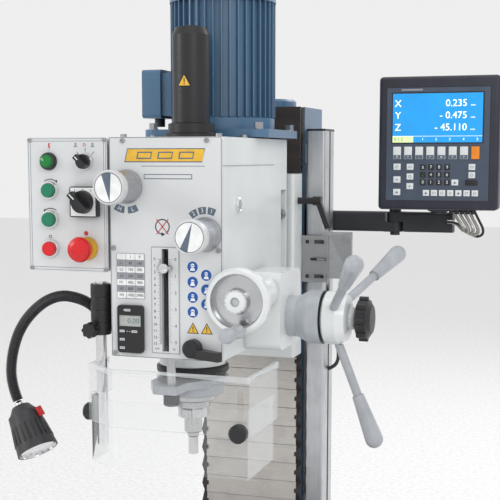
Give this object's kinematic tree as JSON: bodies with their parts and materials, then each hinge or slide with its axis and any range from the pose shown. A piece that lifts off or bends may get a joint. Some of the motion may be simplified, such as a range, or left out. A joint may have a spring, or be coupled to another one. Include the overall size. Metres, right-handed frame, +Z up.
{
  "type": "vertical milling machine",
  "caption": "Bench vertical milling machine: geared tilting head with quill feed, column, saddle and T-slotted table, guard, lamp, control box and digital readout.",
  "frame": {"origin": "underside of the base, at the centre of its four bolt holes", "axes": "+Z up, +X to the operator's right, +Y to the back, so the front with the panel faces -Y"},
  "size_m": [1.072, 0.826, 1.292],
  "materials": {
    "white_paint": "semi-gloss",
    "blue_paint": "semi-gloss",
    "green_grey_iron": "ground",
    "steel": "ground",
    "chrome": "polished",
    "aluminium": "anodised",
    "black_plastic": "matte",
    "grey_knob": "satin",
    "rubber": "matte",
    "bellows": "matte",
    "green_button": "gloss",
    "red_button": "gloss",
    "clear": "clear",
    "brass": "satin",
    "silver_grip": "satin",
    "navy_case": "satin",
    "lamp_grey": "satin"
  },
  "bodies": {
    "frame": {"base_casting": "blue_paint", "column": "blue_paint", "z_drive_cover": "blue_paint", "upper_way_cover": "rubber", "lower_bellows": "bellows", "z_scale_cover": "aluminium", "arm_inner": "black_plastic"},
    "z_screw": {"z_leadscrew": "steel"},
    "saddle": {"y_saddle": "white_paint"},
    "y_lock": {"y_lock": "black_plastic"},
    "x_lock": {"x_lock": "black_plastic"},
    "table": {"table": "green_grey_iron", "table_fittings": "blue_paint"},
    "x_screw": {"x_leadscrew": "steel", "x_handwheels": "chrome"},
    "y_screw": {"y_leadscrew": "steel", "y_handwheel": "chrome"},
    "slide": {"head_slide": "white_paint", "reader_bracket": "steel"},
    "z_lock": {"z_lock_lever": "black_plastic"},
    "head": {"head_casting": "white_paint", "head_cover": "white_paint", "head_fasteners": "steel", "front_panel": "aluminium", "motor_housing": "blue_paint", "feed_gearbox": "white_paint", "control_box": "white_paint", "box_lid": "white_paint", "guard_clamp": "black_plastic"},
    "range_knob": {"range_knob": "grey_knob"},
    "speed_knob": {"speed_knob": "grey_knob"},
    "quill_lock": {"quill_lock_lever": "black_plastic"},
    "rotor": {"motor_rotor": "steel"},
    "gears": {"intermediate_gears": "steel"},
    "sleeve": {"drive_sleeve": "steel"},
    "quill": {"quill": "steel", "quill_collar": "steel", "depth_stop": "steel"},
    "spindle": {"spindle": "steel", "collet_chuck": "steel"},
    "drawbar_cover": {"drawbar_cover": "black_plastic"},
    "feed": {"feed_hub": "white_paint", "feed_levers": "silver_grip", "feed_grips": "silver_grip"},
    "clutch": {"clutch_knob": "black_plastic"},
    "worm_wheel": {"worm_wheel": "brass"},
    "fine_feed": {"fine_feed_wheel": "chrome"},
    "start_button": {"start_button": "green_button"},
    "second_start_button": {"second_start_button": "green_button"},
    "stop_button": {"stop_button": "red_button"},
    "light_selector": {"light_selector": "black_plastic"},
    "main_switch": {"main_switch": "black_plastic"},
    "emergency_stop": {"emergency_stop": "red_button"},
    "guard": {"guard_shell": "clear"},
    "guard_slider": {"guard_slider": "clear"},
    "lamp_arm": {"lamp_gooseneck": "black_plastic"},
    "lamp_head": {"lamp_head": "lamp_grey"},
    "lamp_switch": {"lamp_switch": "red_button"},
    "arm_outer": {"arm_outer": "black_plastic"},
    "readout": {"readout_case": "navy_case"}
  },
  "joints": [
    {"name": "saddle_travel", "type": "slide", "parent": "frame", "child": "saddle", "axis": [0, 1, 0], "range_m": [-0.077, 0.108]},
    {"name": "table_travel", "type": "slide", "parent": "saddle", "child": "table", "axis": [1, 0, 0], "range_m": [-0.2375, 0.2375]},
    {"name": "x_wheel_turn", "type": "hinge", "parent": "table", "child": "x_screw", "pos_m": [0, -0.13, 0.198], "axis": [1, 0, 0], "range_deg": [-17101, 17101]},
    {"name": "y_wheel_turn", "type": "hinge", "parent": "frame", "child": "y_screw", "pos_m": [0, -0.13, 0.088], "axis": [0, 1, 0], "range_deg": [-5545, 7777]},
    {"name": "head_travel", "type": "slide", "parent": "frame", "child": "slide", "axis": [0, 0, 1], "range_m": [-0.21, 0.1], "deforming": ["upper_way_cover", "lower_bellows"]},
    {"name": "z_screw_turn", "type": "hinge", "parent": "frame", "child": "z_screw", "pos_m": [0, 0.255, 0.6], "axis": [0, 0, 1], "range_deg": [-15121, 7201]},
    {"name": "head_tilt", "type": "hinge", "parent": "slide", "child": "head", "pos_m": [0, 0.111, 0.81], "axis": [0, 1, 0], "range_deg": [-90, 90]},
    {"name": "z_lock_turn", "type": "hinge", "parent": "slide", "child": "z_lock", "pos_m": [0.115, 0.14, 0.892], "axis": [1, 0, 0], "range_deg": [-24, 36]},
    {"name": "y_lock_turn", "type": "hinge", "parent": "saddle", "child": "y_lock", "pos_m": [0.125, -0.07, 0.112], "axis": [1, 0, 0], "range_deg": [-20, 60]},
    {"name": "x_lock_turn", "type": "hinge", "parent": "saddle", "child": "x_lock", "pos_m": [0.052, -0.265, 0.16], "axis": [0, 1, 0], "range_deg": [-60, 30]},
    {"name": "spindle_drive", "type": "hinge", "parent": "head", "child": "sleeve", "pos_m": [0, -0.13, 0.9], "axis": [0, 0, 1], "continuous": true},
    {"name": "gears_turn", "type": "hinge", "parent": "head", "child": "gears", "pos_m": [0, -0.05, 0.9], "axis": [0, 0, 1], "continuous": true},
    {"name": "motor_turn", "type": "hinge", "parent": "head", "child": "rotor", "pos_m": [0, 0.02, 0.92], "axis": [0, 0, 1], "continuous": true},
    {"name": "spindle_turn", "type": "hinge", "parent": "quill", "child": "spindle", "pos_m": [0, -0.13, 0.6], "axis": [0, 0, 1], "continuous": true},
    {"name": "feed_turn", "type": "hinge", "parent": "head", "child": "feed", "pos_m": [0.226, -0.079, 0.715], "axis": [1, 0, 0], "range_deg": [-22, 470]},
    {"name": "quill_travel", "type": "slide", "parent": "head", "child": "quill", "axis": [0, 0, -1], "range_m": [-0.0055, 0.1155]},
    {"name": "clutch_turn", "type": "hinge", "parent": "feed", "child": "clutch", "pos_m": [0.27, -0.079, 0.715], "axis": [1, 0, 0], "range_deg": [0, 150]},
    {"name": "fine_feed_turn", "type": "hinge", "parent": "head", "child": "fine_feed", "pos_m": [0.12, -0.24, 0.759], "axis": [0, 1, 0], "continuous": true},
    {"name": "worm_wheel_turn", "type": "hinge", "parent": "head", "child": "worm_wheel", "pos_m": [0.12, -0.079, 0.715], "axis": [1, 0, 0], "continuous": true},
    {"name": "range_knob_turn", "type": "hinge", "parent": "head", "child": "range_knob", "pos_m": [-0.0623, -0.27, 0.9255], "axis": [0, 1, 0], "range_deg": [0, 60]},
    {"name": "speed_knob_turn", "type": "hinge", "parent": "head", "child": "speed_knob", "pos_m": [0.0645, -0.27, 0.8553], "axis": [0, 1, 0], "range_deg": [-60, 60]},
    {"name": "quill_lock_turn", "type": "hinge", "parent": "head", "child": "quill_lock", "pos_m": [0.0454, -0.25, 0.683], "axis": [0, 1, 0], "range_deg": [-40, 15]},
    {"name": "drawbar_cover_lift", "type": "slide", "parent": "head", "child": "drawbar_cover", "axis": [0, 0, 1], "range_m": [0, 0.18]},
    {"name": "start_button_press", "type": "slide", "parent": "head", "child": "start_button", "axis": [0, 1, 0], "range_m": [0, 0.004], "stiffness_N_per_m": 1200, "springref_m": -0.001},
    {"name": "second_start_button_press", "type": "slide", "parent": "head", "child": "second_start_button", "axis": [0, 1, 0], "range_m": [0, 0.004], "stiffness_N_per_m": 1200, "springref_m": -0.001},
    {"name": "stop_button_press", "type": "slide", "parent": "head", "child": "stop_button", "axis": [0, 1, 0], "range_m": [0, 0.004], "stiffness_N_per_m": 1200, "springref_m": -0.001},
    {"name": "emergency_stop_press", "type": "slide", "parent": "head", "child": "emergency_stop", "axis": [0, 1, 0], "range_m": [0, 0.006]},
    {"name": "light_selector_turn", "type": "hinge", "parent": "head", "child": "light_selector", "pos_m": [-0.1312, -0.25, 0.9631], "axis": [0, 1, 0], "range_deg": [0, 90]},
    {"name": "main_switch_turn", "type": "hinge", "parent": "head", "child": "main_switch", "pos_m": [-0.1305, -0.25, 0.9016], "axis": [0, 1, 0], "range_deg": [0, 90]},
    {"name": "guard_swing", "type": "hinge", "parent": "head", "child": "guard", "pos_m": [-0.1145, -0.23, 0.62], "axis": [0, 0, 1], "range_deg": [-100, 0]},
    {"name": "guard_slider_travel", "type": "slide", "parent": "guard", "child": "guard_slider", "axis": [0, 0, -1], "range_m": [0, 0.06]},
    {"name": "lamp_swing", "type": "hinge", "parent": "head", "child": "lamp_arm", "pos_m": [-0.126, -0.206, 0.71], "axis": [0, 0, 1], "range_deg": [-35, 35]},
    {"name": "lamp_head_tilt", "type": "hinge", "parent": "lamp_arm", "child": "lamp_head", "pos_m": [-0.27574, -0.206, 0.56469], "axis": [0, 1, 0], "range_deg": [-18, 18]},
    {"name": "lamp_switch_rock", "type": "hinge", "parent": "lamp_head", "child": "lamp_switch", "pos_m": [-0.23556, -0.21273, 0.55922], "axis": [0.1335, 0.9684, -0.2106], "range_deg": [-3, 3]},
    {"name": "arm_elbow", "type": "hinge", "parent": "frame", "child": "arm_outer", "pos_m": [0.251, 0.273, 0.85], "axis": [0, 0, 1], "range_deg": [-35, 60]},
    {"name": "readout_swivel", "type": "hinge", "parent": "arm_outer", "child": "readout", "pos_m": [0.34, 0.273, 0.872], "axis": [0, 0, 1], "range_deg": [-30, 30]}
  ],
  "couplings": [
    {"joint": "x_wheel_turn", "follows": "table_travel", "rad_per_m": 1256.6},
    {"joint": "y_wheel_turn", "follows": "saddle_travel", "rad_per_m": 1256.6},
    {"joint": "z_screw_turn", "follows": "head_travel", "rad_per_m": 1256.6},
    {"joint": "gears_turn", "follows": "spindle_drive", "ratio": -1.6667},
    {"joint": "motor_turn", "follows": "spindle_drive", "ratio": 3},
    {"joint": "spindle_turn", "follows": "spindle_drive", "ratio": 1},
    {"joint": "quill_travel", "follows": "feed_turn", "m_per_rad": 0.014},
    {"joint": "worm_wheel_turn", "follows": "fine_feed_turn", "ratio": 0.033333}
  ]
}
